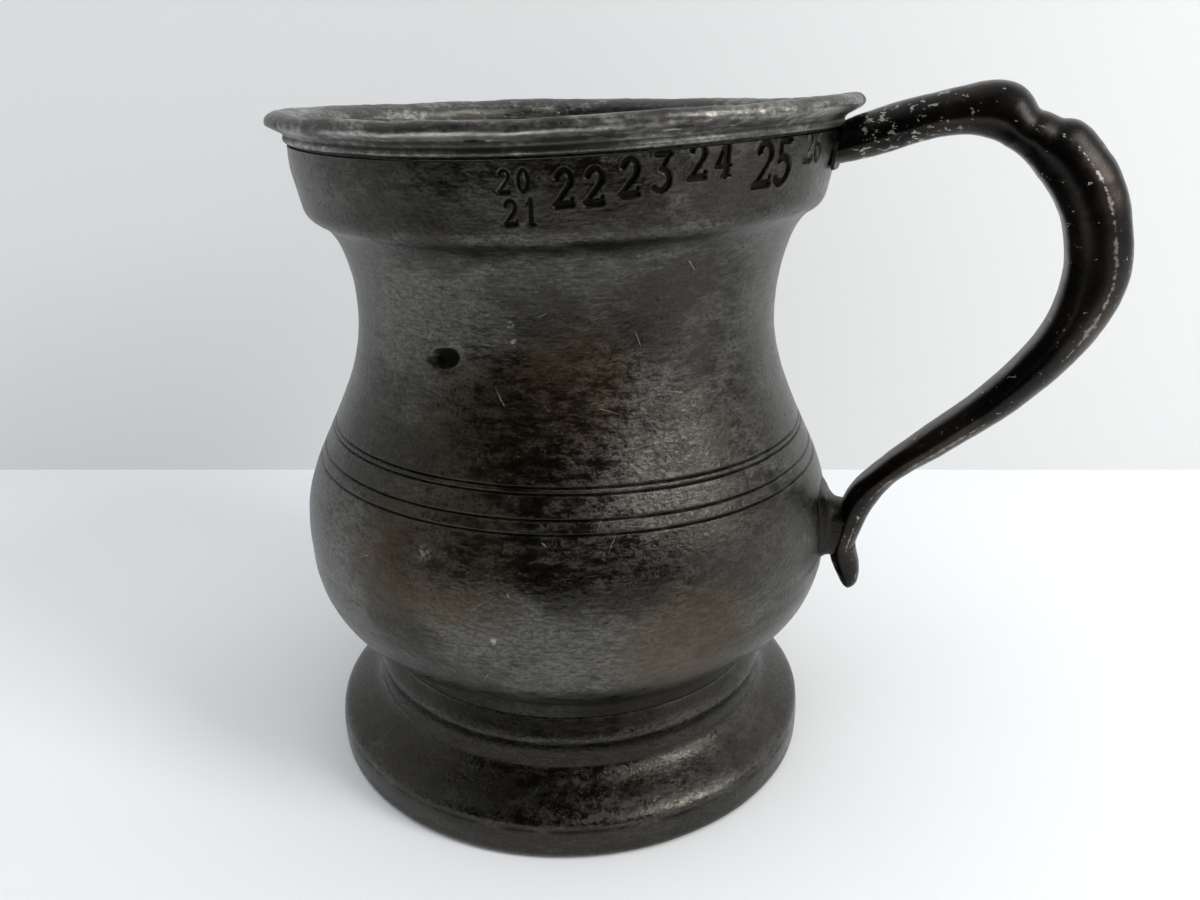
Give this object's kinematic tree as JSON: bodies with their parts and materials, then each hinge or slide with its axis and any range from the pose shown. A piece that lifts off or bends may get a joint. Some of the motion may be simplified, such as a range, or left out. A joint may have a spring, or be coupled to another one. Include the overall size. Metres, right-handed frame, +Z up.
{
  "type": "pewter measure",
  "caption": "Bellied half pint measure with a flared collar and lip, incised bands, spreading foot and broken scroll handle",
  "frame": {"origin": "on the body's axis, at the plane that the foot stands on", "axes": "+Z up the axis, +X towards the handle, +Y to the left when the handle points at the viewer's right hand and the body is seen from -Y"},
  "size_m": [0.118, 0.0824, 0.1033],
  "materials": {
    "dark_pewter": "satin, oxidised, with fine turning marks and brown patina",
    "inner_pewter": "dull, oxidised and scratched",
    "worn_pewter": "bright worn edge, nicked",
    "black_pewter": "satin black patina with worn arrises",
    "solder": "dull grey"
  },
  "bodies": {
    "root": {"lower_body": "dark_pewter", "upper_body": "dark_pewter", "belly_solder": "solder", "base_disc": "inner_pewter", "base_solder": "solder", "foot_ring": "dark_pewter", "foot_solder": "solder", "lip_ring": "worn_pewter", "lip_solder": "solder", "handle": "black_pewter", "handle_solder": "solder", "lower_strut": "black_pewter", "strut_solder": "solder"}
  },
  "joints": []
}
